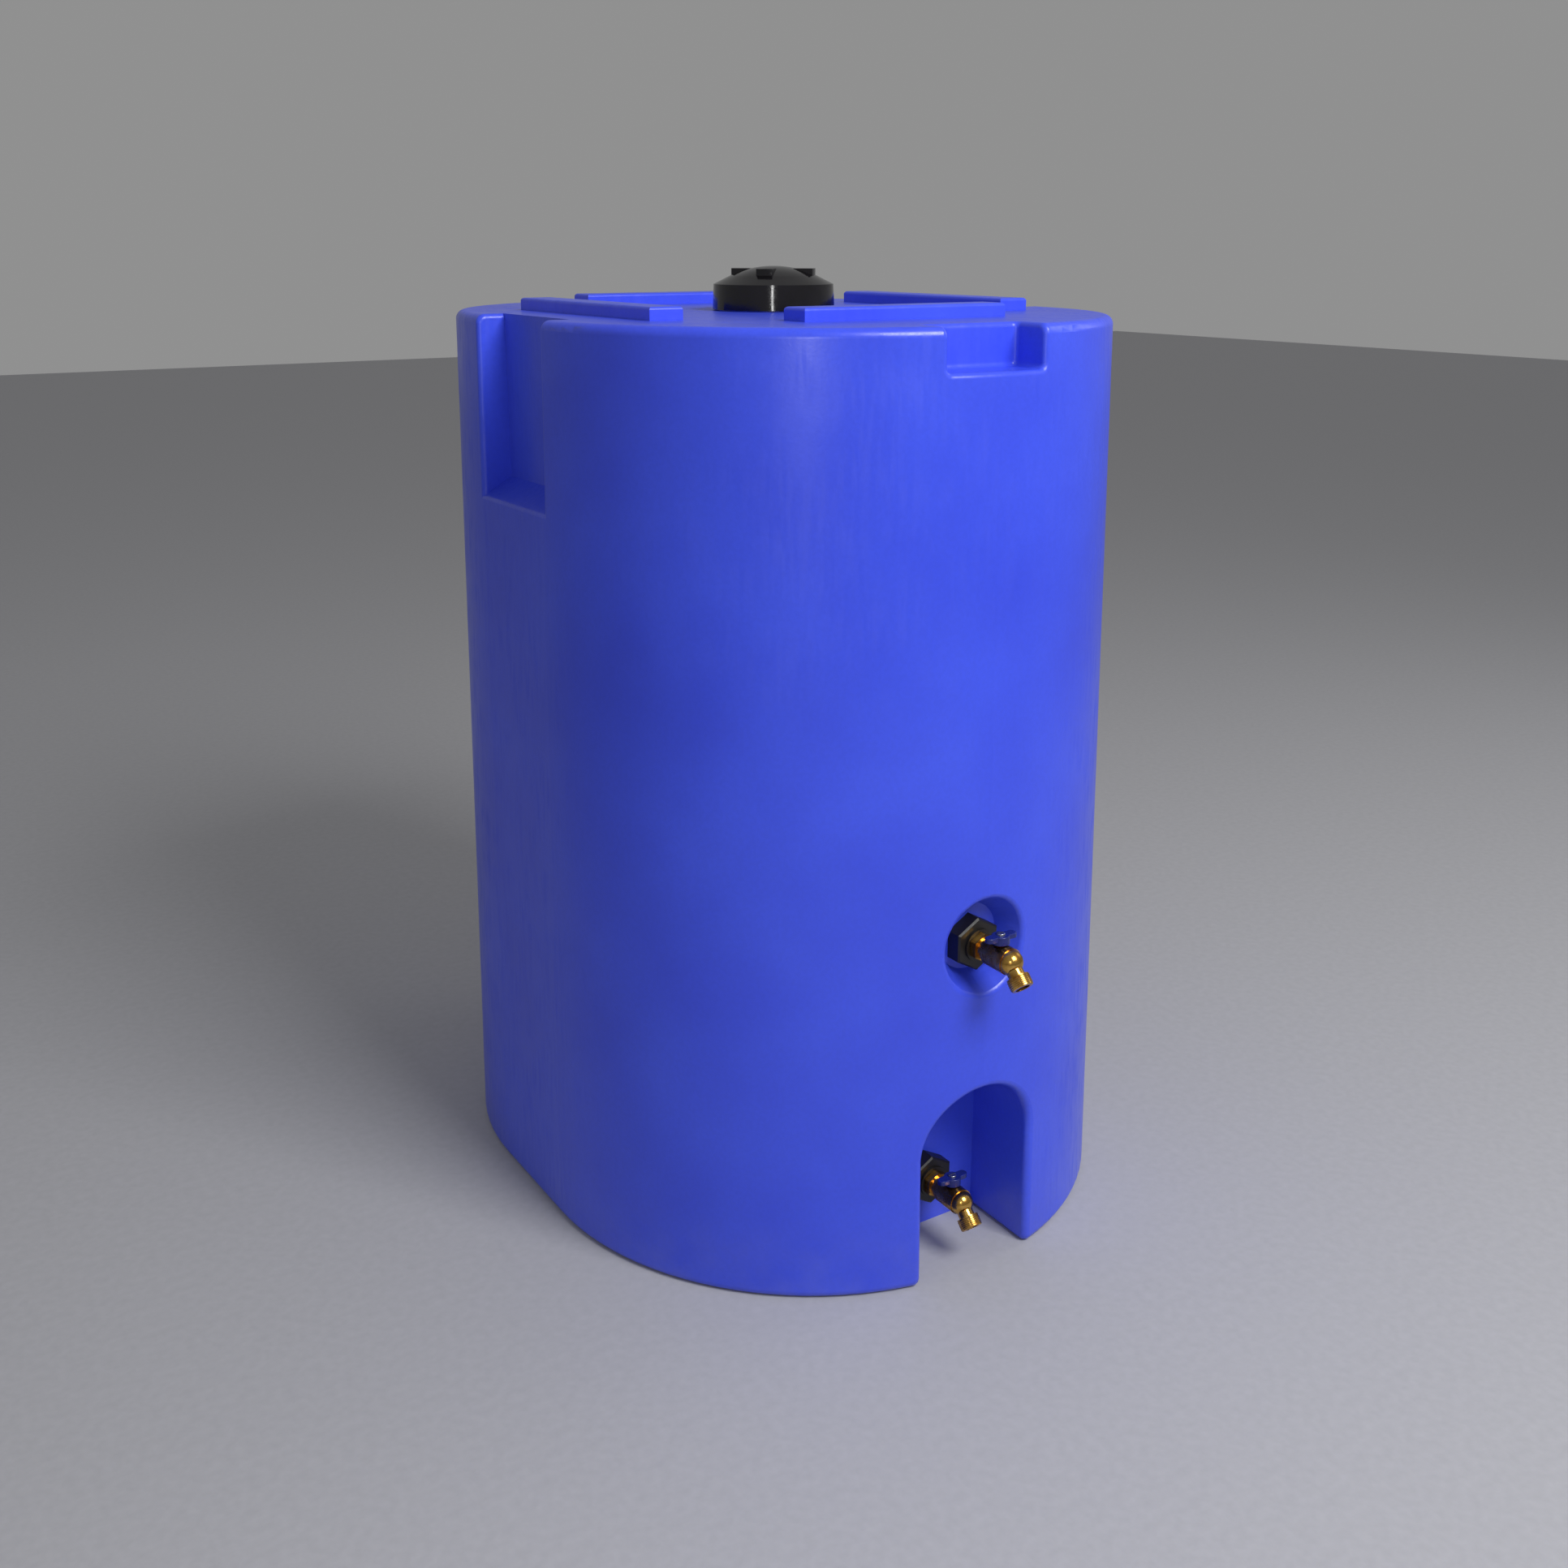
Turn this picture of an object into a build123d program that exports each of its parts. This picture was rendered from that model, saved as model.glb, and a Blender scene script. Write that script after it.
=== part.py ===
from build123d import *
import math
import os

# Upright rotomoulded water storage tank, made to stack, with a screw lid and two brass taps.
# Millimetres. Origin on the floor, midway across and midway front to back. The front faces -Y, up is +Z.

# Tank shell
deck_z = 1125.0  # height of the flat top
base_width = 762.0  # side to side at the floor
flat_length = 172.0  # straight stretch of each side, between the two half-round ends
draft = 0.92  # degrees each wall leans in, so that the tank leaves its mould
wall = 7.0
foot_radius = 10.0
shoulder_radius = 11.0
notch_edge = 8.0  # rounding of the edges where a pocket breaks the outside
pocket_edge = 6.0
base_depth = base_width + flat_length
lean = math.tan(math.radians(draft))

# Stacking ribs on the top, and the sockets under the base that drop over them
rib_width = 42.0
rib_height = 15.0
rib_edge = 4.0
side_rib_x = 248.0
side_rib_length = 344.0
end_rib_y = 264.0
end_rib_length = 280.0
socket_gap = 4.0  # all round a rib
socket_depth = 18.0
lid_recess_radius = 105.0
lid_recess_depth = 60.0

# Pockets in the walls
notch_width = 160.0
notch_spring_z = 163.0
notch_back_y = -350.0
dish_z = 426.0
dish_mouth_radius = 60.0
dish_flat_radius = 41.0
dish_flat_y = -423.0
front_pocket_width = 130.0
front_pocket_floor_z = 1077.0
front_pocket_back_y = -394.0
side_pocket_width = 176.0
side_pocket_ledge_z = 907.0
side_pocket_slope = 22.0  # how much the ledge rises towards the back of the pocket
side_pocket_back_x = 328.0

# Filler neck, lid and lid gasket
neck_radius = 71.0
neck_bore = 64.0
neck_height = 28.0
lid_radius = 77.0
lid_skirt_bore = 73.5
lid_gap = 1.5  # between the deck and the lid's lower edge
lid_skirt_top = 32.0  # heights above the deck
lid_shoulder = 42.0
lid_crown = 54.0
lid_shoulder_radius = 55.0
lid_wall = 4.0
lug_count = 4
lug_width = 20.0
lug_reach = 24.0  # from its outer face in towards the middle
lug_top = 51.0
lid_gasket_thickness = 3.0
lid_gasket_bore = 58.0

# Tap fittings, each on an axis that leaves the tank along -Y. Distances along it are from the wall's outside.
lower_tap_z = 72.0
upper_tap_z = 422.0
wall_hole = 20.7
stem_pipe = 19.6  # threaded barrel of the bulkhead fitting
bulkhead_length = 24.0
bulkhead_bore = 13.3
bulkhead_waterway = 11.0
flange_radius = 31.5
flange_thickness = 10.0
wall_gasket_thickness = 3.0
nut_across_flats = 57.0
nut_thickness = 21.0
nut_chamfer = 2.0
thread_gap = 0.1  # between screwed parts drawn without their threads

shank_start = 6.0  # the tap's screwed shank inside the bulkhead fitting
shank_radius = 13.2
collar_start = 24.5
collar_length = 9.5
collar_across_flats = 30.0
ball_centre = 60.0
ball_radius = 11.0
ball_bore = 6.5
chamber_start = 48.0
chamber_end = 76.0
chamber_radius = 12.0
barrel_radius = 16.0
seat_length = 6.0
spigot_length = 4.0
bend_centre = 78.0
spout_radius = 9.8
spout_length = 33.0
spout_bore = 8.6
spout_angle = 45.0
hose_thread_radius = 13.4
hose_thread_length = 14.0
hose_washer_edge = 1.0

valve_stem_radius = 3.2
stem_gap = 0.05  # running fit of the stem in its seal and in its two bores
stem_tang = 3.0
bonnet_radius = 6.4
bonnet_top = 18.0  # heights above the tap's axis
packing_floor = 13.0
packing_radius = 4.8
packing_nut_top = 21.0
packing_nut_across_flats = 14.0
handle_bottom = 17.0  # lower edge of the cup that covers the packing nut
handle_cup_bore = 8.6
handle_hub_radius = 10.6
handle_wing_bottom = 21.5
handle_top = 27.0
handle_width = 43.0
handle_blade = 12.0
handle_screw_radius = 4.0
handle_screw_head = 2.2


def upright(radius, low, high):
    """A cylinder round the Z axis, from one height to another."""
    return Pos(0, 0, low) * Cylinder(radius, high - low, align=(Align.CENTER, Align.CENTER, Align.MIN))


def outward(radius, start, end):
    """A cylinder along -Y, from one distance to another."""
    return Rot(90, 0, 0) * upright(radius, start, end)


def outward_hexagon(across_flats, start, end):
    """A hexagonal prism along -Y, with a flat on top."""
    face = RegularPolygon(across_flats / 2, 6, major_radius=False, rotation=30)
    return Rot(90, 0, 0) * (Pos(0, 0, start) * extrude(face, end - start))


def block(low, high):
    """A box between two opposite corners."""
    size = [high[i] - low[i] for i in range(3)]
    return Pos(*low) * Box(*size, align=(Align.MIN, Align.MIN, Align.MIN))


def edges_within(shape, low, high):
    """The edges of a shape that lie wholly inside a box."""
    found = ShapeList()
    for edge in shape.edges():
        box = edge.bounding_box()
        near = min(box.min.X - low[0], box.min.Y - low[1], box.min.Z - low[2])
        far = min(high[0] - box.max.X, high[1] - box.max.Y, high[2] - box.max.Z)
        if near >= 0 and far >= 0:
            found.append(edge)
    return found


def round_within(shape, low, high, radius):
    """The shape with every edge inside a box rounded."""
    return fillet(edges_within(shape, low, high), radius)


def tapered_body(inset, low, high):
    """The tank's plan, set in from the outside all round, between two heights of the leaning wall."""
    width = base_width - 2 * inset - 2 * low * lean
    plan = SlotCenterToCenter(flat_length, width, rotation=90)
    return Pos(0, 0, low) * extrude(plan, high - low, taper=draft)


def notch(grown):
    """The arched notch for the lower tap, or its inside skin when grown by the wall."""
    half = notch_width / 2 + grown
    arch = Pos(0, notch_spring_z / 2 - 50) * Rectangle(2 * half, notch_spring_z + 100)
    arch += Pos(0, notch_spring_z) * Circle(half)
    return Pos(0, notch_back_y + grown, 0) * extrude(Plane.XZ * arch, 200)


def dish(grown):
    """The round, cone-sided dish for the upper tap."""
    depth = base_depth / 2 + 20 + dish_flat_y + grown
    spread = (dish_mouth_radius - dish_flat_radius) / (base_depth / 2 - dish_z * lean + dish_flat_y)
    low_radius = dish_flat_radius + grown
    cone = Cone(low_radius, low_radius + spread * depth, depth, align=(Align.CENTER, Align.CENTER, Align.MIN))
    return Pos(0, dish_flat_y + grown, dish_z) * Rot(90, 0, 0) * cone


def front_pocket(grown):
    """The hand pocket in the front edge, open at the top."""
    half = front_pocket_width / 2 + grown
    low = (-half, -base_depth, front_pocket_floor_z - grown)
    return block(low, (half, front_pocket_back_y + grown, deck_z + 50))


def side_pocket(side, grown):
    """The long pocket in one side, open at the top, with a ledge that slopes down and out."""
    half = side_pocket_width / 2 + grown
    back = side_pocket_back_x - grown
    outside = base_width / 2 + 20
    run = base_width / 2 - side_pocket_ledge_z * lean - side_pocket_back_x
    rise = side_pocket_slope / run
    ledge = side_pocket_ledge_z - grown
    profile = Polyline(
        (back, ledge + side_pocket_slope + rise * grown),
        (outside, ledge - rise * (outside - side_pocket_back_x - run)),
        (outside, deck_z + 50),
        (back, deck_z + 50),
        close=True,
    )
    prism = extrude(Plane.XZ * make_face(profile), half, both=True)
    return prism if side > 0 else mirror(prism, Plane.YZ)


def rib(grown, low, high, lengthwise):
    """One straight stacking rib about the origin, along Y when lengthwise and along X otherwise."""
    length = (side_rib_length if lengthwise else end_rib_length) + 2 * grown
    width = rib_width + 2 * grown
    size = (width, length) if lengthwise else (length, width)
    return Pos(0, 0, low) * Box(*size, high - low, align=(Align.CENTER, Align.CENTER, Align.MIN))


def four_ribs(grown, low, high):
    """The ring of four ribs, one on each side of the lid."""
    ribs = []
    for side in (-1, 1):
        ribs.append(Pos(side * side_rib_x, 0, 0) * rib(grown, low, high, True))
        ribs.append(Pos(0, side * end_rib_y, 0) * rib(grown, low, high, False))
    return ribs


def tank_shell():
    """The one-piece moulding: outside, less pockets and sockets, less the hollow inside."""
    outside = tapered_body(0, 0, deck_z)
    top_edges = outside.faces().sort_by(Axis.Z)[-1].edges()
    outside = fillet(top_edges, shoulder_radius)
    foot_edges = outside.faces().sort_by(Axis.Z)[0].edges()
    outside = fillet(foot_edges, foot_radius)

    front = -base_depth / 2 - 10
    half = notch_width / 2 + 10
    arch_top = notch_spring_z + half
    outside -= notch(0)
    outside = round_within(outside, (-half, front, -1), (half, notch_back_y - 20, arch_top), notch_edge)

    half = dish_mouth_radius + 10
    outside -= dish(0)
    outside = round_within(
        outside, (-half, front, dish_z - half), (half, dish_flat_y - 10, dish_z + half), pocket_edge
    )

    half = front_pocket_width / 2 + 10
    outside -= front_pocket(0)
    outside = round_within(
        outside, (-half, front, front_pocket_floor_z - 1), (half, front_pocket_back_y + 1, deck_z + 1), pocket_edge
    )

    half = side_pocket_width / 2 + 10
    for side in (-1, 1):
        outside -= side_pocket(side, 0)
        across = sorted((side * (side_pocket_back_x + 2), side * base_width / 2))
        low = (across[0], -half, side_pocket_ledge_z - 10)
        outside = round_within(outside, low, (across[1], half, deck_z + 1), pocket_edge)

    outside -= upright(lid_recess_radius, -1, lid_recess_depth)
    for socket in four_ribs(socket_gap, -1, socket_depth):
        outside -= socket
    for raised in four_ribs(0, deck_z - 1, deck_z + rib_height):
        top = raised.faces().sort_by(Axis.Z)[-1]
        outside += fillet(top.edges(), rib_edge)
    outside += upright(neck_radius, deck_z - 1, deck_z + neck_height)

    hollow = tapered_body(wall, wall, deck_z - wall)
    for skin in (notch(wall), dish(wall), front_pocket(wall), side_pocket(-1, wall), side_pocket(1, wall)):
        hollow -= skin
    hollow -= upright(lid_recess_radius + wall, -1, lid_recess_depth + wall)
    for socket in four_ribs(socket_gap + wall, -1, socket_depth + wall):
        hollow -= socket
    for raised in four_ribs(-wall, deck_z - wall - 1, deck_z + rib_height - wall):
        hollow += raised
    hollow += upright(neck_bore, deck_z - wall - 1, deck_z + neck_height + 1)

    shell = outside - hollow
    for z, face_y in ((lower_tap_z, notch_back_y), (upper_tap_z, dish_flat_y)):
        shell -= Pos(0, face_y, z) * outward(wall_hole, -wall - 1, 1)
    return shell


def in_quarters(shell):
    """The moulding as solids that meet face to face, so that collision can follow its hollows."""
    levels = (-1, lid_recess_depth + 20, notch_spring_z + notch_width / 2 + 20, front_pocket_floor_z - 20, deck_z + 50)
    reach = base_depth
    quarters = []
    for low, high in zip(levels, levels[1:]):
        for x in (-reach, 0):
            for y in (-reach, 0):
                quarters += (shell & block((x, y, low), (x + reach, y + reach, high))).solids()
    return Compound(children=quarters)


def lid():
    """The screw lid: a hollow moulding with a skirt, a sloped shoulder, a low dome and four grip lugs."""
    outline = Polyline(
        (0, lid_gap),
        (lid_radius, lid_gap),
        (lid_radius - 1.5, lid_skirt_top),
        (lid_shoulder_radius, lid_shoulder),
    )
    dome_rise = lid_crown - lid_shoulder
    dome_radius = (lid_shoulder_radius**2 + dome_rise**2) / (2 * dome_rise)
    middle_z = lid_crown - dome_radius + math.sqrt(dome_radius**2 - (lid_shoulder_radius / 2) ** 2)
    dome_middle = (lid_shoulder_radius / 2, middle_z)
    outline += ThreePointArc((lid_shoulder_radius, lid_shoulder), dome_middle, (0, lid_crown))
    outline += Line((0, lid_crown), (0, lid_gap))
    section = make_face(outline)
    body = revolve(Plane.XZ * section, Axis.Z)

    lug_radius = lid_shoulder_radius - 2
    lug_middle = lug_radius - lug_reach / 2
    ring = upright(lug_radius, lid_shoulder - 1, lug_top) - upright(lug_radius - lug_reach, 0, lug_top + 1)
    for n in range(lug_count):
        angle = 45 + 360 / lug_count * n
        spoke = Pos(lug_middle, 0, lug_top / 2) * Box(lug_reach + 2, lug_width, lug_top)
        body += ring & (Rot(0, 0, angle) * spoke)

    seat = neck_height + lid_gasket_thickness
    body -= upright(lid_skirt_bore, 0, seat)
    inner_dome = Cone(lid_gasket_bore - 6, 14, lid_crown - lid_wall - seat, align=(Align.CENTER, Align.CENTER, Align.MIN))
    body -= Pos(0, 0, seat - 0.01) * inner_dome
    return Pos(0, 0, deck_z) * body


def lid_gasket():
    """The flat rubber ring that the lid presses on the neck."""
    low = deck_z + neck_height
    high = low + lid_gasket_thickness
    return upright(neck_radius, low, high) - upright(lid_gasket_bore, low - 1, high + 1)


def tap_pieces():
    """Every piece of one tap with its bulkhead fitting, on an axis along -Y from the origin."""
    pieces = {}
    gasket_start = -wall - wall_gasket_thickness
    flange_start = gasket_start - flange_thickness

    body = outward(flange_radius, flange_start, gasket_start)
    body += outward(stem_pipe, gasket_start, bulkhead_length)
    body -= outward(bulkhead_waterway, flange_start - 1, bulkhead_length + 1)
    body -= outward(bulkhead_bore, shank_start - 1, bulkhead_length + 1)
    pieces["bulkhead_body"] = body

    gasket = outward(flange_radius, gasket_start, -wall)
    pieces["bulkhead_gasket"] = gasket - outward(stem_pipe + thread_gap, gasket_start - 1, 0)

    nut = outward_hexagon(nut_across_flats, 0, nut_thickness)
    outer_edges = nut.faces().sort_by(Axis.Y)[0].edges()
    nut = chamfer(outer_edges, nut_chamfer)
    pieces["bulkhead_nut"] = nut - outward(stem_pipe + thread_gap, -1, nut_thickness + 1)

    tap = outward(shank_radius, shank_start, collar_start)
    tap += outward_hexagon(collar_across_flats, collar_start, collar_start + collar_length)
    tap += outward(shank_radius, collar_start, chamber_start)
    tap += outward(barrel_radius, chamber_start - wall / 2, chamber_end)
    tap += Pos(0, -ball_centre, 0) * upright(bonnet_radius, 0, bonnet_top)
    tap -= outward(spout_bore, shank_start - 1, chamber_start + 1)
    tap -= outward(chamber_radius, chamber_start, chamber_end + 1)
    tap -= Pos(0, -ball_centre, 0) * upright(valve_stem_radius + stem_gap, 0, bonnet_top + 1)
    tap -= Pos(0, -ball_centre, 0) * upright(packing_radius, packing_floor, bonnet_top + 1)
    pieces["tap_body"] = tap

    spout = upright(spout_radius, 0, spout_length)
    spout += upright(hose_thread_radius, spout_length - hose_thread_length, spout_length)
    spout = chamfer(spout.faces().sort_by(Axis.Z)[-1].edges(), hose_washer_edge)
    turn = Pos(0, -bend_centre, 0) * Rot(90 + spout_angle, 0, 0)
    outlet = outward(chamber_radius - thread_gap, chamber_end - spigot_length, bend_centre)
    outlet += outward(barrel_radius, chamber_end, bend_centre)
    outlet += Pos(0, -bend_centre, 0) * Sphere(barrel_radius - 1) & outward(50, bend_centre - 1, 200)
    outlet += turn * spout & outward(50, chamber_end, 200)
    outlet -= outward(ball_bore, chamber_end - spigot_length - 1, bend_centre)
    outlet -= Pos(0, -bend_centre, 0) * Sphere(ball_bore)
    outlet -= turn * upright(ball_bore, 0, spout_length + 1)
    outlet -= turn * upright(spout_bore, spout_length - hose_thread_length, spout_length + 1)
    pieces["tap_outlet"] = outlet

    ball = Pos(0, -ball_centre, 0) * Sphere(ball_radius)
    ball -= Pos(0, -ball_centre, 0) * Rot(0, 90, 0) * Cylinder(ball_bore, 3 * ball_radius)
    tang_low = ball_radius - stem_tang
    slot = Box(2 * ball_radius, stem_tang + 2 * thread_gap, stem_tang + 1, align=(Align.CENTER, Align.CENTER, Align.MIN))
    ball -= Pos(0, -ball_centre, tang_low - thread_gap) * slot
    pieces["tap_ball"] = ball

    seats = []
    for start in (chamber_start, chamber_end - spigot_length - seat_length):
        ring = outward(chamber_radius - stem_gap, start, start + seat_length)
        ring -= outward(ball_bore, start - 1, start + seat_length + 1)
        seats.append(ring - Pos(0, -ball_centre, 0) * Sphere(ball_radius + stem_gap))
    pieces["ball_seats"] = Compound(children=seats)

    stem = upright(valve_stem_radius, ball_radius, handle_top)
    tang = Box(2 * valve_stem_radius - 1, stem_tang, stem_tang, align=(Align.CENTER, Align.CENTER, Align.MIN))
    stem += Pos(0, 0, tang_low) * tang
    pieces["valve_stem"] = Pos(0, -ball_centre, 0) * stem

    seal = upright(packing_radius - stem_gap, packing_floor, bonnet_top)
    seal -= upright(valve_stem_radius + stem_gap, packing_floor - 1, bonnet_top + 1)
    pieces["stem_seal"] = Pos(0, -ball_centre, 0) * seal

    hexagon = RegularPolygon(packing_nut_across_flats / 2, 6, major_radius=False)
    cap_low = barrel_radius + 0.3
    cap = Pos(0, 0, cap_low) * extrude(hexagon, packing_nut_top - cap_low)
    cap -= upright(bonnet_radius + thread_gap, packing_floor, bonnet_top)
    cap -= upright(valve_stem_radius + stem_gap, packing_floor, packing_nut_top + 1)
    pieces["packing_nut"] = Pos(0, -ball_centre, 0) * cap

    blade = SlotOverall(handle_width, handle_blade) + Circle(handle_hub_radius)
    grip = Pos(0, 0, handle_wing_bottom) * extrude(blade, handle_top - handle_wing_bottom)
    grip = fillet(grip.faces().sort_by(Axis.Z)[-1].edges(), 1.2)
    grip += upright(handle_hub_radius, handle_bottom, handle_wing_bottom)
    grip -= upright(handle_cup_bore, handle_bottom - 1, handle_wing_bottom)
    grip -= upright(valve_stem_radius + stem_gap, handle_bottom, handle_top + 1)
    pieces["tap_handle"] = Pos(0, -ball_centre, 0) * grip

    screw_low = handle_top
    head = upright(handle_screw_radius + 1, screw_low, screw_low + handle_screw_head)
    head = fillet(head.faces().sort_by(Axis.Z)[-1].edges(), 1.0)
    head -= Pos(0, 0, screw_low + handle_screw_head) * Box(12, 1.2, 2.0)
    pieces["handle_screw"] = Pos(0, -ball_centre, 0) * head
    return pieces


os.makedirs("parts", exist_ok=True)
export_step(in_quarters(tank_shell()), "parts/tank_shell.step")
export_step(lid(), "parts/lid.step")
export_step(lid_gasket(), "parts/lid_gasket.step")
for tap_name, tap_z, wall_y in (("lower", lower_tap_z, notch_back_y), ("upper", upper_tap_z, dish_flat_y)):
    for piece_name, piece in tap_pieces().items():
        export_step(Pos(0, wall_y, tap_z) * piece, f"parts/{tap_name}_{piece_name}.step")
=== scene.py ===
import math

import bmesh
import bpy
from mathutils import Matrix, Vector


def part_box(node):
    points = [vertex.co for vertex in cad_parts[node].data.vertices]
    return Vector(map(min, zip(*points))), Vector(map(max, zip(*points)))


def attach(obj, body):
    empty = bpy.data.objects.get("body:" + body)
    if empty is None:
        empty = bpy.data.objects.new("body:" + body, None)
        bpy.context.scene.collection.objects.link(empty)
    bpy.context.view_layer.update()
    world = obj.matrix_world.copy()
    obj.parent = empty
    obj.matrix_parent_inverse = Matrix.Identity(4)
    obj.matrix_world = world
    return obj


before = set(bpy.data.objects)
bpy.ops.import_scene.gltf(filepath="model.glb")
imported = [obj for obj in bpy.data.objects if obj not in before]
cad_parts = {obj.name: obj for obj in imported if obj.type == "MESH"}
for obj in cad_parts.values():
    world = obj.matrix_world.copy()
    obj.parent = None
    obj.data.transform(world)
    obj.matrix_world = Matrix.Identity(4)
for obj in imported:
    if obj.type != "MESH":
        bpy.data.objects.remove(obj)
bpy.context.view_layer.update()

scene = bpy.context.scene


# ---------------------------------------------------------------- tank shell
# One hollow polyethylene moulding, spun and baked in a closed mould: the blue runs all the way through it.
# Such a skin is satin, with a fine orange peel from the mould, slow waves where the wall cooled unevenly,
# and a little floor dust and scuffing round the foot.
def linear(code):
    """The linear colour, with alpha, for an sRGB hex code such as 3050D0."""
    parts = [int(code[i : i + 2], 16) / 255 for i in (0, 2, 4)]
    return [p / 12.92 if p <= 0.04045 else ((p + 0.055) / 1.055) ** 2.4 for p in parts] + [1.0]


def add(tree, kind, sockets=None, **settings):
    """Adds a node with its settings. A socket's value is a plain value, or the output that feeds it."""
    node = tree.nodes.new(kind)
    for name, value in settings.items():
        setattr(node, name, value)
    for name, value in (sockets or {}).items():
        if isinstance(value, bpy.types.NodeSocket):
            tree.links.new(value, node.inputs[name])
        else:
            node.inputs[name].default_value = value
    return node


def start_material(name):
    """A new material's tree, its surface shader and its Object coordinates."""
    material = bpy.data.materials.new(name)
    material.use_nodes = True
    tree = material.node_tree
    surface = tree.nodes["Principled BSDF"]
    place = tree.nodes.new("ShaderNodeTexCoord").outputs["Object"]
    return material, tree, surface, place


def patches(tree, place, size_mm, detail=2.0, contrast=1.0):
    """A 0 to 1 pattern of soft patches about that many millimetres across."""
    noise = add(tree, "ShaderNodeTexNoise", {"Vector": place, "Scale": 1000 / size_mm, "Detail": detail})
    spread = 0.25 / contrast
    low_high = {"Value": noise.outputs["Fac"], "From Min": 0.5 - spread, "From Max": 0.5 + spread}
    return add(tree, "ShaderNodeMapRange", low_high).outputs["Result"]


def blend(tree, share, first, second):
    """One colour shading into another by a 0 to 1 pattern."""
    mix = add(tree, "ShaderNodeMix", {0: share, 6: first, 7: second}, data_type="RGBA")
    return mix.outputs[2]


def span(tree, share, low, high):
    """A 0 to 1 pattern turned into a number between low and high."""
    return add(tree, "ShaderNodeMapRange", {"Value": share, "To Min": low, "To Max": high}).outputs["Result"]


def relief(tree, height, depth_mm, over=None):
    """A bump of that depth, laid over an earlier one."""
    sockets = {"Height": height, "Distance": depth_mm / 1000, "Strength": 1.0}
    if over is not None:
        sockets["Normal"] = over
    return add(tree, "ShaderNodeBump", sockets).outputs["Normal"]


def rotomoulded_polyethylene():
    material, tree, surface, place = start_material("rotomoulded_polyethylene")
    cloudy = patches(tree, place, 160)
    body = blend(tree, cloudy, linear("384CDE"), linear("4057EA"))
    flecks = patches(tree, place, 5, 3.0, 2.0)
    flecked = blend(tree, span(tree, flecks, 0.0, 0.10), body, linear("2C3AB4"))
    height = add(tree, "ShaderNodeSeparateXYZ", {"Vector": place}).outputs["Z"]
    near_foot = add(tree, "ShaderNodeMapRange", {"Value": height, "From Min": 0.11, "From Max": 0.0})
    smudges = patches(tree, place, 45, 5.0, 1.6)
    dust_share = add(tree, "ShaderNodeMath", {0: near_foot.outputs["Result"], 1: smudges}, operation="MULTIPLY")
    dusty = span(tree, dust_share.outputs["Value"], 0.0, 0.10)
    tree.links.new(blend(tree, dusty, flecked, linear("9A9CB4")), surface.inputs["Base Color"])
    stretched = add(tree, "ShaderNodeMapping", {"Vector": place, "Scale": (1.0, 1.0, 0.12)}).outputs["Vector"]
    scuffs = patches(tree, stretched, 7, 4.0, 2.5)
    worn = add(tree, "ShaderNodeMath", {0: scuffs, 1: smudges}, operation="MULTIPLY").outputs["Value"]
    tree.links.new(span(tree, worn, 0.28, 0.42), surface.inputs["Roughness"])
    waves = relief(tree, patches(tree, place, 210, 1.0), 1.6)
    ripples = relief(tree, patches(tree, place, 55, 1.0), 0.16, waves)
    peel = relief(tree, patches(tree, place, 3.5, 2.0), 0.03, ripples)
    tree.links.new(peel, surface.inputs["Normal"])
    surface.inputs["IOR"].default_value = 1.51
    return material


def finish_node(name, material):
    """Gives a carried-over node its material."""
    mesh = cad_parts[name].data
    mesh.materials.clear()
    mesh.materials.append(material)


shell_skin = rotomoulded_polyethylene()
finish_node("tank_shell", shell_skin)


# ---------------------------------------------------------------- filler neck thread
# The neck's coarse thread is moulded in one with the shell: a rounded ridge that climbs one pitch a turn.
# It is hidden by the lid's skirt until the lid is unscrewed.
neck_height = 0.028
neck_radius = 0.071
neck_ridge = 0.0018
neck_ridge_foot = 0.005
neck_ridge_crest = 0.002
neck_thread_turns = 1.75
neck_thread_facets = 72
thread_above_deck = 0.007
lid_pitch = 0.009


def new_piece(name, mesh, material, body):
    """A finished mesh as an object that rides on a body."""
    data = bpy.data.meshes.new(name)
    mesh.to_mesh(data)
    mesh.free()
    data.shade_smooth()
    data.materials.append(material)
    piece = bpy.data.objects.new(name, data)
    scene.collection.objects.link(piece)
    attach(piece, body)
    return piece


def thread_ridge(radius, depth, foot, crest, pitch, turns, facets):
    """A helical ridge round the Z axis, with that many facets a turn and its foot sunk in the wall."""
    mesh = bmesh.new()
    sunk = radius - depth
    section = [(sunk, -foot / 2), (radius + depth, -crest / 2), (radius + depth, crest / 2), (sunk, foot / 2)]
    start = mesh.faces.new([mesh.verts.new((x, 0, z)) for x, z in section])
    bmesh.ops.spin(
        mesh, geom=[start, *start.edges, *start.verts], cent=(0, 0, 0), axis=(0, 0, 1),
        dvec=(0, 0, pitch / facets), angle=math.tau * turns, steps=int(facets * turns), use_merge=False,
    )
    bmesh.ops.recalc_face_normals(mesh, faces=mesh.faces)
    return mesh


deck_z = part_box("lid_gasket")[0].z - neck_height
neck_thread = thread_ridge(
    neck_radius, neck_ridge, neck_ridge_foot, neck_ridge_crest, lid_pitch, neck_thread_turns, neck_thread_facets
)
bmesh.ops.translate(neck_thread, verts=neck_thread.verts, vec=(0, 0, deck_z + thread_above_deck))
new_piece("neck_thread", neck_thread, shell_skin, "tank")


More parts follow.
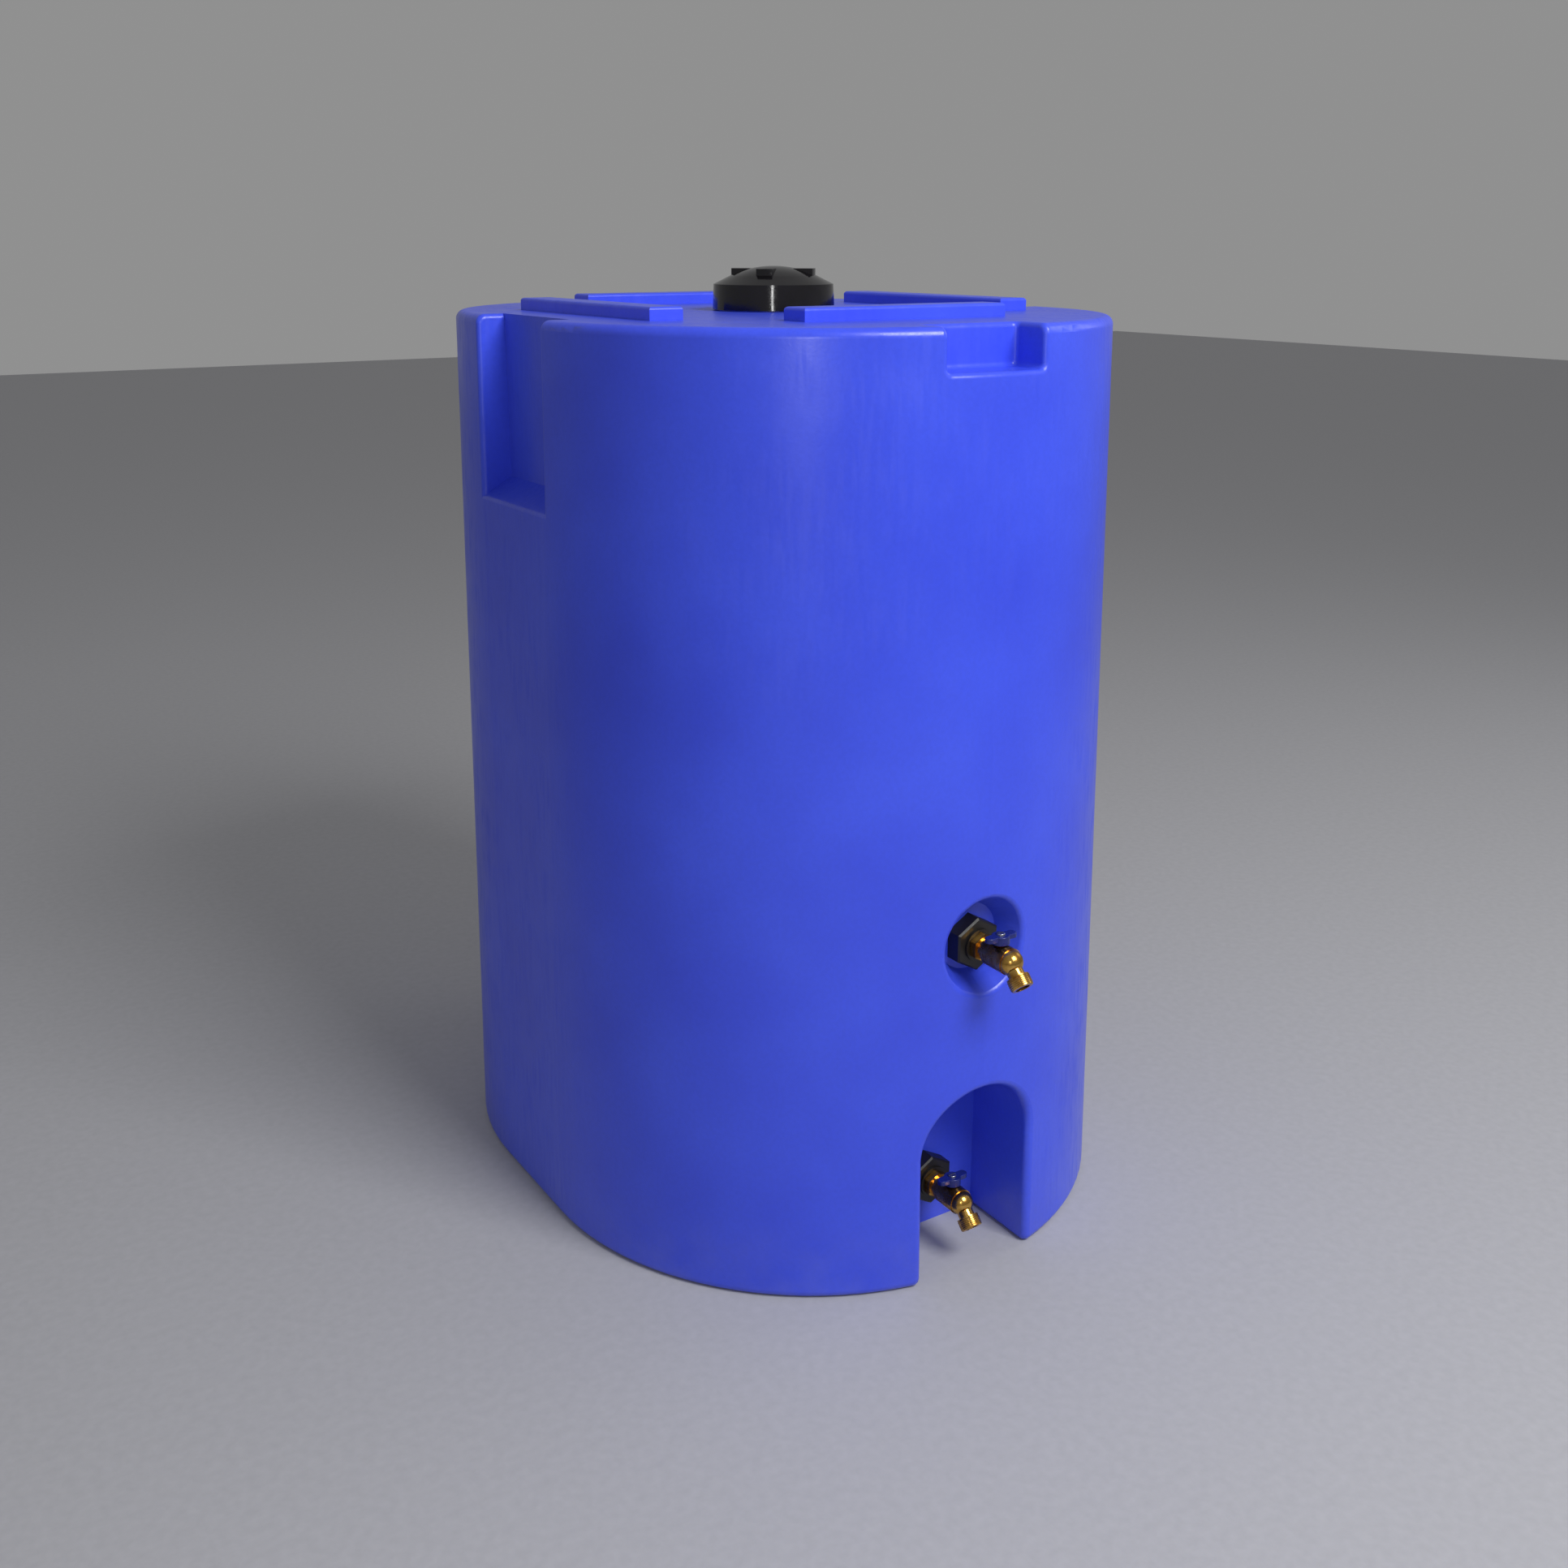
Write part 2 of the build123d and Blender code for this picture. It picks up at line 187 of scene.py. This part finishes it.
# ---------------------------------------------------------------- lid
# A black polypropylene screw lid, injection moulded in a polished tool, so it is glossy with faint flow marks
# and fine hairline scratches from being handled. Four lugs on the dome take a bar or a hand.
def polished_polypropylene():
    material, tree, surface, place = start_material("polished_black_polypropylene")
    flow = patches(tree, place, 30, 3.0)
    tree.links.new(blend(tree, flow, linear("0A090B"), linear("121014")), surface.inputs["Base Color"])
    hairlines = add(tree, "ShaderNodeMapping", {"Vector": place, "Scale": (1.0, 0.08, 1.0)}).outputs["Vector"]
    scratches = patches(tree, hairlines, 1.5, 4.0, 2.0)
    tree.links.new(span(tree, scratches, 0.08, 0.16), surface.inputs["Roughness"])
    tree.links.new(relief(tree, patches(tree, place, 14, 2.0), 0.05), surface.inputs["Normal"])
    surface.inputs["IOR"].default_value = 1.49
    return material


finish_node("lid", polished_polypropylene())


# ---------------------------------------------------------------- lid gasket and wall gaskets
# Flat rings cut from black EPDM sheet: dull, slightly dusty, with the faint grain of the calender.
def sheet_rubber():
    material, tree, surface, place = start_material("cut_epdm_sheet")
    bloom = patches(tree, place, 9, 4.0, 1.5)
    tree.links.new(blend(tree, bloom, linear("161617"), linear("252527")), surface.inputs["Base Color"])
    tree.links.new(span(tree, bloom, 0.62, 0.8), surface.inputs["Roughness"])
    tree.links.new(relief(tree, patches(tree, place, 0.8, 2.0), 0.04), surface.inputs["Normal"])
    return material


rubber = sheet_rubber()
finish_node("lid_gasket", rubber)
for tap in ("lower", "upper"):
    finish_node(f"{tap}_bulkhead_gasket", rubber)


# ---------------------------------------------------------------- bulkhead fittings
# Each tap screws into a black glass-filled polypropylene fitting: a flange inside the tank, a barrel through
# the wall, and a hexagonal nut outside. The moulded surface is matte, with the fibres' fine speckle.
def glass_filled_polypropylene():
    material, tree, surface, place = start_material("glass_filled_polypropylene")
    fibres = patches(tree, place, 1.2, 4.0, 2.0)
    tree.links.new(blend(tree, fibres, linear("0F0D0C"), linear("1B1816")), surface.inputs["Base Color"])
    tree.links.new(span(tree, fibres, 0.38, 0.52), surface.inputs["Roughness"])
    tree.links.new(relief(tree, fibres, 0.05), surface.inputs["Normal"])
    surface.inputs["IOR"].default_value = 1.5
    return material


fitting_plastic = glass_filled_polypropylene()
for tap in ("lower", "upper"):
    finish_node(f"{tap}_bulkhead_body", fitting_plastic)
    finish_node(f"{tap}_bulkhead_nut", fitting_plastic)


# ---------------------------------------------------------------- brass taps
# Forged and machined brass ball valves. The forged skin is tumbled bright and slightly uneven, with darker
# tarnish in soft patches; nothing is lacquered, so handling has dulled it here and there.
def tumbled_brass():
    material, tree, surface, place = start_material("tumbled_brass")
    tarnish = patches(tree, place, 11, 4.0, 1.4)
    tree.links.new(blend(tree, tarnish, linear("D9AE5C"), linear("97692C")), surface.inputs["Base Color"])
    surface.inputs["Metallic"].default_value = 1.0
    tree.links.new(span(tree, tarnish, 0.16, 0.34), surface.inputs["Roughness"])
    pits = relief(tree, patches(tree, place, 1.6, 3.0, 1.5), 0.02)
    tree.links.new(pits, surface.inputs["Normal"])
    return material


brass = tumbled_brass()
for tap in ("lower", "upper"):
    for piece in ("tap_body", "tap_outlet", "valve_stem", "packing_nut"):
        finish_node(f"{tap}_{piece}", brass)


# ---------------------------------------------------------------- hose threads
# The last 14 mm of each spout is cut with the coarse 3/4 inch hose thread: one fine ridge, 2.2 mm a turn.
hose_pitch = 0.0022
hose_radius = 0.0134
hose_ridge = 0.0005
hose_ridge_foot = 0.0019
hose_ridge_crest = 0.0006
hose_thread_turns = 4.75
hose_thread_facets = 48
ball_to_bend = 0.018
bend_to_thread = 0.0205
spout_lean = Matrix.Rotation(math.radians(135), 4, "X")
for tap in ("lower", "upper"):
    ball_low, ball_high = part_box(f"{tap}_tap_ball")
    ball_middle = (ball_low + ball_high) / 2
    bend = ball_middle - Vector((0, ball_to_bend, 0))
    ridge = thread_ridge(
        hose_radius, hose_ridge, hose_ridge_foot, hose_ridge_crest, hose_pitch, hose_thread_turns, hose_thread_facets
    )
    bmesh.ops.translate(ridge, verts=ridge.verts, vec=(0, 0, bend_to_thread))
    bmesh.ops.transform(ridge, matrix=Matrix.Translation(bend) @ spout_lean, verts=ridge.verts)
    new_piece(f"{tap}_hose_thread", ridge, brass, "tank")


# ---------------------------------------------------------------- valve insides
# A hard chromed brass ball between two turned PTFE seats, with a PTFE packing ring round the stem.
def polished_chrome():
    material, tree, surface, place = start_material("polished_chrome")
    wiped = patches(tree, place, 4, 3.0)
    tree.links.new(blend(tree, wiped, linear("D8DADD"), linear("C4C7CC")), surface.inputs["Base Color"])
    surface.inputs["Metallic"].default_value = 1.0
    tree.links.new(span(tree, wiped, 0.05, 0.14), surface.inputs["Roughness"])
    return material


def turned_ptfe():
    material, tree, surface, place = start_material("turned_ptfe")
    lathe = patches(tree, place, 0.7, 2.0)
    tree.links.new(blend(tree, lathe, linear("EDEDE8"), linear("DEDED8")), surface.inputs["Base Color"])
    tree.links.new(span(tree, lathe, 0.35, 0.45), surface.inputs["Roughness"])
    tree.links.new(relief(tree, lathe, 0.01), surface.inputs["Normal"])
    return material


ball_finish = polished_chrome()
seat_finish = turned_ptfe()
for tap in ("lower", "upper"):
    finish_node(f"{tap}_tap_ball", ball_finish)
    finish_node(f"{tap}_ball_seats", seat_finish)
    finish_node(f"{tap}_stem_seal", seat_finish)


# ---------------------------------------------------------------- handles
# A die-cast T handle in dark blue enamel, baked on, with the metal's slight unevenness showing through, held
# to the stem by one zinc-plated screw.
def baked_enamel():
    material, tree, surface, place = start_material("baked_blue_enamel")
    uneven = patches(tree, place, 6, 3.0)
    tree.links.new(blend(tree, uneven, linear("1A2678"), linear("141D5E")), surface.inputs["Base Color"])
    tree.links.new(span(tree, uneven, 0.24, 0.36), surface.inputs["Roughness"])
    tree.links.new(relief(tree, patches(tree, place, 2.2, 2.0), 0.04), surface.inputs["Normal"])
    return material


def zinc_plate():
    material, tree, surface, place = start_material("zinc_plated_steel")
    spangle = patches(tree, place, 1.5, 3.0, 1.6)
    tree.links.new(blend(tree, spangle, linear("B9BCC0"), linear("9A9DA2")), surface.inputs["Base Color"])
    surface.inputs["Metallic"].default_value = 1.0
    tree.links.new(span(tree, spangle, 0.25, 0.4), surface.inputs["Roughness"])
    return material


enamel = baked_enamel()
screw_plate = zinc_plate()
for tap in ("lower", "upper"):
    finish_node(f"{tap}_tap_handle", enamel)
    finish_node(f"{tap}_handle_screw", screw_plate)


# ---------------------------------------------------------------- floor
# A plain pale studio floor, painted matte: a flat square 30 m across.
def matte_studio_paint():
    material, tree, surface, place = start_material("matte_studio_paint")
    roller = patches(tree, place, 12, 3.0)
    tree.links.new(blend(tree, roller, linear("B2B2B6"), linear("ABABAF")), surface.inputs["Base Color"])
    surface.inputs["Roughness"].default_value = 0.6
    return material


floor_half = 15.0
floor_mesh = bmesh.new()
bmesh.ops.create_grid(floor_mesh, x_segments=4, y_segments=4, size=floor_half)
floor_data = bpy.data.meshes.new("studio_floor")
floor_mesh.to_mesh(floor_data)
floor_mesh.free()
floor_data.materials.append(matte_studio_paint())
floor = bpy.data.objects.new("studio_floor", floor_data)
scene.collection.objects.link(floor)


# ---------------------------------------------------------------- light
# Soft white surroundings, a large soft box high in front, a weaker one on the right, and a narrow upright one
# whose reflection draws the bright line down the lid's skirt.
def soft_box(name, place, aim, width, height, power):
    light = bpy.data.lights.new(name, "AREA")
    light.shape = "RECTANGLE"
    light.size = width
    light.size_y = height
    light.energy = power
    lamp = bpy.data.objects.new(name, light)
    lamp.location = place
    lamp.rotation_euler = (Vector(aim) - Vector(place)).to_track_quat("-Z", "Y").to_euler()
    scene.collection.objects.link(lamp)


soft_box("key_soft_box", (0.5, -2.7, 3.1), (0, -0.3, 1.15), 1.5, 1.5, 112)
soft_box("side_soft_box", (3.2, -0.6, 2.2), (0, 0, 0.9), 1.4, 1.6, 10)
soft_box("strip_soft_box", (-1.55, -2.3, 1.4), (0, 0, 1.2), 0.14, 0.7, 7)
world = bpy.data.worlds.new("white_surroundings")
world.use_nodes = True
background = world.node_tree.nodes["Background"]
background.inputs["Color"].default_value = linear("FFFFFF")
background.inputs["Strength"].default_value = 0.28
scene.world = world
scene.view_settings.view_transform = "Standard"


# ---------------------------------------------------------------- camera
# Eye height just above the lid, in front and to the left, looking a little down.
camera_place = Vector((-1.1355, -1.7978, 1.2117))
heading = Vector((0.5393, 0.8421, 0))
look_down = math.radians(15.96)
camera_data = bpy.data.cameras.new("front_left_view")
camera_data.sensor_width = 36
camera_data.lens = 37.53
camera_data.shift_y = -0.0497
camera = bpy.data.objects.new("front_left_view", camera_data)
camera.location = camera_place
look = heading.normalized() * math.cos(look_down) - Vector((0, 0, math.sin(look_down)))
camera.rotation_euler = look.to_track_quat("-Z", "Y").to_euler()
scene.collection.objects.link(camera)
scene.camera = camera
